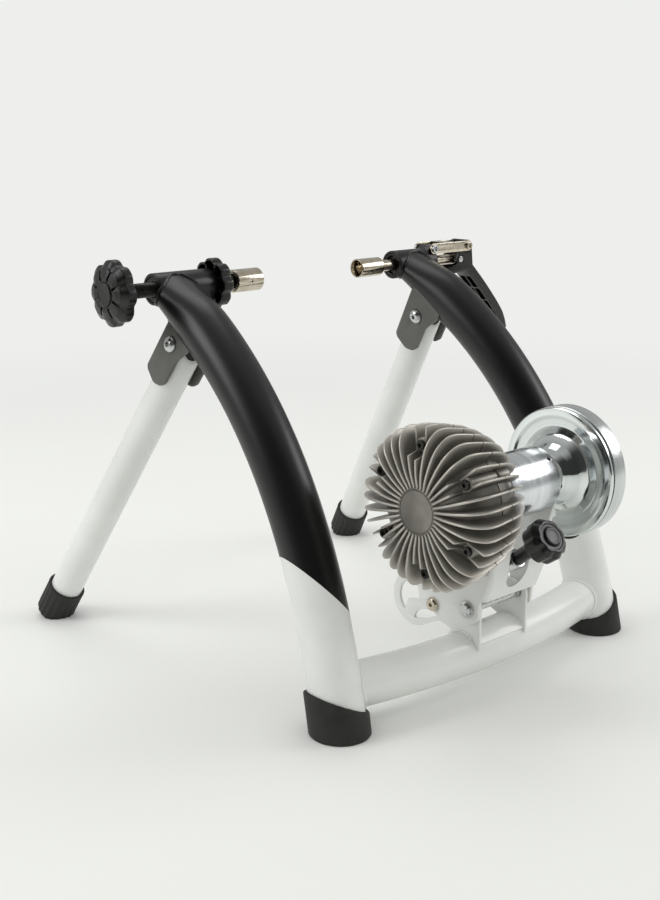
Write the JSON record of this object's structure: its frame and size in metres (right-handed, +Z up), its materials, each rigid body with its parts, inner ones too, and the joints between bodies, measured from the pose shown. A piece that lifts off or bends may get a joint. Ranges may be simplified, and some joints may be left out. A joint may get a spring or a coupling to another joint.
{
  "type": "bicycle turbo trainer",
  "caption": "Folding rear-wheel bicycle trainer: tube stand with axle clamps, folding legs and a finned fluid resistance unit with roller and flywheel.",
  "frame": {"origin": "on the floor, under the middle of the overall box of the part", "axes": "+X along the wheel axle from the screw clamp to the lever clamp, +Y towards the folding legs, +Z up"},
  "size_m": [0.588, 0.5682, 0.4125],
  "materials": {
    "satin_black": "satin",
    "white_paint": "gloss",
    "bracket_black": "satin",
    "foot_rubber": "matte",
    "black_plastic": "satin",
    "nickel": "polished",
    "zinc_steel": "bright zinc",
    "black_steel": "black oxide",
    "cast_aluminium": "as cast, painted grey",
    "turned_aluminium": "turned and polished",
    "flywheel_plate": "bright plated",
    "nylon": "natural"
  },
  "bodies": {
    "frame": {"arch_tube_left": "satin_black", "arch_tube_right": "satin_black", "cross_tube": "white_paint", "arch_foot_left": "foot_rubber", "arch_foot_right": "foot_rubber", "screw_housing": "satin_black", "screw_liner": "zinc_steel", "lever_housing": "satin_black", "plunger_liner": "black_plastic", "leg_bracket_left": "bracket_black", "leg_bracket_right": "bracket_black", "leg_pivot_bolt_left": "zinc_steel", "leg_pivot_bolt_right": "zinc_steel", "leg_pivot_nut_left": "zinc_steel", "leg_pivot_nut_right": "zinc_steel", "unit_bracket": "white_paint", "yoke_pivot_bolt": "zinc_steel", "yoke_pivot_nut": "zinc_steel", "tension_anchor_bolt": "nickel", "tension_anchor_nut": "nickel"},
    "leg_left": {"leg_tube_left": "white_paint", "leg_foot_left": "foot_rubber", "leg_insert_left": "foot_rubber"},
    "leg_right": {"leg_tube_right": "white_paint", "leg_foot_right": "foot_rubber", "leg_insert_right": "foot_rubber"},
    "screw_cup_slide": {"screw_cup": "nickel"},
    "axle_screw": {"clamp_screw": "black_steel", "screw_knob": "black_plastic", "screw_knob_cap": "black_plastic"},
    "lock_carrier": {"lock_washer": "zinc_steel"},
    "lock_ring": {"lock_knob": "black_plastic"},
    "plunger": {"plunger_rod": "nickel", "lever_cup": "nickel"},
    "lever": {"clamp_lever": "black_plastic", "lever_pin": "zinc_steel"},
    "link": {"clamp_link": "nickel", "link_pin": "zinc_steel"},
    "swing_yoke": {"yoke": "white_paint", "trunnion_bolt_left": "zinc_steel", "trunnion_bolt_right": "zinc_steel", "yoke_bush_left": "nylon", "yoke_bush_right": "nylon", "fluid_housing_front": "cast_aluminium", "fluid_housing_rear": "cast_aluminium", "fluid_gasket": "foot_rubber", "shaft_bearing_left": "zinc_steel", "shaft_bearing_right": "zinc_steel", "shaft_seal": "foot_rubber"},
    "rotor": {"roller": "turned_aluminium", "rotor_shaft": "zinc_steel", "fluid_impeller": "cast_aluminium", "flywheel_dish": "flywheel_plate", "flywheel_rim": "flywheel_plate", "flywheel_nut": "zinc_steel"},
    "trunnion": {"tension_trunnion": "zinc_steel"},
    "tension_rod": {"tension_bolt": "black_steel"},
    "tension_slider": {"tension_washer": "zinc_steel"},
    "tension_grip": {"tension_knob": "black_plastic", "tension_knob_cap": "black_plastic"}
  },
  "joints": [
    {"name": "leg_fold_left", "type": "hinge", "parent": "frame", "child": "leg_left", "pos_m": [-0.21678, 0.07102, 0.32562], "axis": [-0.9871, 0, 0.16], "range_deg": [0, 48]},
    {"name": "leg_fold_right", "type": "hinge", "parent": "frame", "child": "leg_right", "pos_m": [0.13026, 0.07102, 0.32562], "axis": [-0.9871, 0, -0.16], "range_deg": [0, 48]},
    {"name": "cup_slide", "type": "slide", "parent": "frame", "child": "screw_cup_slide", "axis": [1, 0, 0], "range_m": [-0.0131, 0.0321]},
    {"name": "screw_turn", "type": "hinge", "parent": "screw_cup_slide", "child": "axle_screw", "pos_m": [-0.19326, 0.10092, 0.38], "axis": [1, 0, 0], "range_deg": [-2340, 5760]},
    {"name": "lock_travel", "type": "slide", "parent": "frame", "child": "lock_carrier", "axis": [1, 0, 0], "range_m": [0, 0.002]},
    {"name": "lock_turn", "type": "hinge", "parent": "lock_carrier", "child": "lock_ring", "pos_m": [-0.15926, 0.10092, 0.38], "axis": [1, 0, 0], "range_deg": [0, 357]},
    {"name": "plunger_slide", "type": "slide", "parent": "frame", "child": "plunger", "axis": [1, 0, 0], "range_m": [0, 0.0265]},
    {"name": "lever_swing", "type": "hinge", "parent": "plunger", "child": "lever", "pos_m": [0.20474, 0.10092, 0.38], "axis": [0, -1, 0], "range_deg": [0, 85]},
    {"name": "link_rock", "type": "hinge", "parent": "frame", "child": "link", "pos_m": [0.15674, 0.10092, 0.3955], "axis": [0, -1, 0], "range_deg": [0, 1]},
    {"name": "yoke_swing", "type": "hinge", "parent": "frame", "child": "swing_yoke", "pos_m": [-0.04476, -0.19008, 0.0865], "axis": [-1, 0, 0], "range_deg": [-7, 7]},
    {"name": "rotor_spin", "type": "hinge", "parent": "swing_yoke", "child": "rotor", "pos_m": [-0.04326, -0.20708, 0.2066], "axis": [1, 0, 0], "continuous": true},
    {"name": "trunnion_swivel", "type": "hinge", "parent": "swing_yoke", "child": "trunnion", "pos_m": [-0.04476, -0.20906, 0.13], "axis": [-1, 0, 0], "range_deg": [-3.7, 3.7]},
    {"name": "tension_tilt", "type": "hinge", "parent": "frame", "child": "tension_rod", "pos_m": [-0.04476, -0.14108, 0.077], "axis": [-1, 0, 0], "range_deg": [-3.5, 3.5]},
    {"name": "tension_travel", "type": "slide", "parent": "tension_rod", "child": "tension_slider", "axis": [0, -0.7887, 0.6148], "range_m": [-0.0028, 0.0028]},
    {"name": "tension_turn", "type": "hinge", "parent": "tension_slider", "child": "tension_grip", "pos_m": [-0.04476, -0.2436, 0.15693], "axis": [0, -0.7887, 0.6148], "range_deg": [-400, 400]}
  ],
  "couplings": [
    {"joint": "cup_slide", "follows": "screw_turn", "m_per_rad": 0.00031831},
    {"joint": "lock_travel", "follows": "lock_turn", "m_per_rad": 0.00031831},
    {"joint": "plunger_slide", "follows": "lever_swing", "m_per_rad": 0.01777},
    {"joint": "link_rock", "follows": "lever_swing", "ratio": 0.01},
    {"joint": "trunnion_swivel", "follows": "yoke_swing", "ratio": -0.51607},
    {"joint": "tension_tilt", "follows": "yoke_swing", "ratio": 0.48393},
    {"joint": "tension_travel", "follows": "yoke_swing", "m_per_rad": -0.022634},
    {"joint": "tension_turn", "follows": "yoke_swing", "ratio": -56.885}
  ]
}
